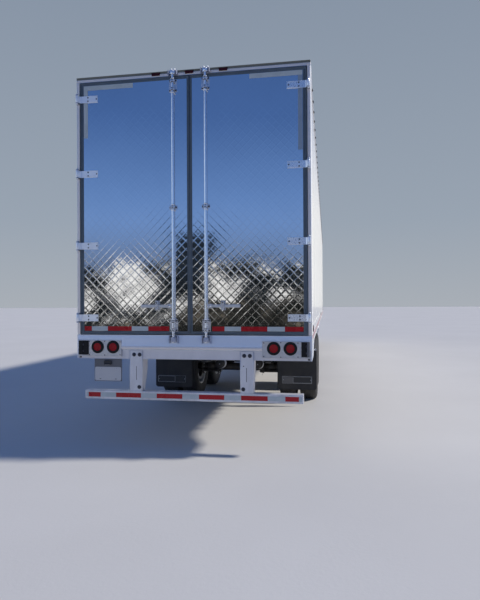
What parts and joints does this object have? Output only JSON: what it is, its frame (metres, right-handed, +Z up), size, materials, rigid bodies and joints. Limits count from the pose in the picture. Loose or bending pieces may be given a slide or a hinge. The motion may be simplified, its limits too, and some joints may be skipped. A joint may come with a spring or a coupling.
{
  "type": "refrigerated van semi trailer",
  "caption": "Long insulated box semi trailer with twin rear doors that fold round to the sides, a sliding tandem axle bogie with twin wheels, a nose cooling unit and landing legs.",
  "frame": {"origin": "centre of the bounding box on the ground, under the tyres and landing feet", "axes": "+X to the right, +Y forward to the nose and kingpin, with the doors at the -Y end, +Z up"},
  "size_m": [2.5908, 16.6564, 4.115],
  "materials": {
    "white_panel": "white moulded sheet",
    "galvanised": "galvanised steel",
    "stainless": "bright quilted stainless sheet",
    "aluminium": "mill finish",
    "rubber_seal": "extruded rubber",
    "frame_paint": "pale painted steel",
    "black_steel": "black paint",
    "tyre": "tyre rubber",
    "wheel": "white painted steel",
    "red_lens": "red lens",
    "bright_zinc": "zinc plate",
    "plate": "blank plate",
    "unit_cover": "white moulded cover",
    "black_rubber": "moulded rubber"
  },
  "bodies": {
    "root": {"bottom_rails": "aluminium", "crossmembers": "galvanised", "dock_bumpers": "black_rubber", "floor": "aluminium", "front_wall": "white_panel", "fuel_tank": "aluminium", "fuel_tank_straps": "aluminium", "gladhand_box": "galvanised", "hinge_butts": "bright_zinc", "kingpin": "black_steel", "lamp_plates": "galvanised", "landing_braces": "black_steel", "landing_crank": "black_steel", "landing_legs": "black_steel", "left_wall": "white_panel", "licence_plate": "plate", "marker_lamps": "red_lens", "rear_guard": "frame_paint", "rear_header": "aluminium", "rear_posts": "aluminium", "rear_sill": "frame_paint", "refrigeration_unit": "unit_cover", "right_wall": "white_panel", "rod_keepers": "bright_zinc", "roof": "aluminium", "slide_rails": "black_steel", "tail_lamps": "red_lens", "top_rails": "aluminium", "upper_coupler": "black_steel"},
    "left_door": {"left_door_panel": "stainless", "left_door_seal": "rubber_seal", "left_hinge_straps": "bright_zinc", "left_lock_rod": "bright_zinc", "left_rod_brackets": "bright_zinc"},
    "right_door": {"right_door_panel": "stainless", "right_door_seal": "rubber_seal", "right_hinge_straps": "bright_zinc", "right_lock_rod": "bright_zinc", "right_rod_brackets": "bright_zinc"},
    "bogie": {"bogie_frame": "black_steel", "trailing_arms": "black_steel", "air_springs": "black_rubber", "shock_absorbers": "black_steel", "axles": "black_steel", "brake_chambers": "black_steel", "air_tank": "black_steel", "mudflaps": "black_rubber"},
    "rear_left_wheels": {"rear_left_tyres": "tyre", "rear_left_wheel": "wheel"},
    "rear_right_wheels": {"rear_right_tyres": "tyre", "rear_right_wheel": "wheel"},
    "front_left_wheels": {"front_left_tyres": "tyre", "front_left_wheel": "wheel"},
    "front_right_wheels": {"front_right_tyres": "tyre", "front_right_wheel": "wheel"}
  },
  "joints": [
    {"name": "left_door_hinge", "type": "hinge", "parent": "root", "child": "left_door", "pos_m": [-1.272, -8.31375, 2.6], "axis": [0, 0, 1], "range_deg": [-267, 0]},
    {"name": "right_door_hinge", "type": "hinge", "parent": "root", "child": "right_door", "pos_m": [1.272, -8.31375, 2.6], "axis": [0, 0, 1], "range_deg": [0, 267]},
    {"name": "bogie_slide", "type": "slide", "parent": "root", "child": "bogie", "axis": [0, 1, 0], "range_m": [-1.219, 1.219]},
    {"name": "rear_left_wheel_spin", "type": "hinge", "parent": "bogie", "child": "rear_left_wheels", "pos_m": [-0.98425, -4.87575, 0.507], "axis": [1, 0, 0], "continuous": true},
    {"name": "rear_right_wheel_spin", "type": "hinge", "parent": "bogie", "child": "rear_right_wheels", "pos_m": [0.98425, -4.87575, 0.507], "axis": [1, 0, 0], "continuous": true},
    {"name": "front_left_wheel_spin", "type": "hinge", "parent": "bogie", "child": "front_left_wheels", "pos_m": [-0.98425, -3.63075, 0.507], "axis": [1, 0, 0], "continuous": true},
    {"name": "front_right_wheel_spin", "type": "hinge", "parent": "bogie", "child": "front_right_wheels", "pos_m": [0.98425, -3.63075, 0.507], "axis": [1, 0, 0], "continuous": true}
  ]
}
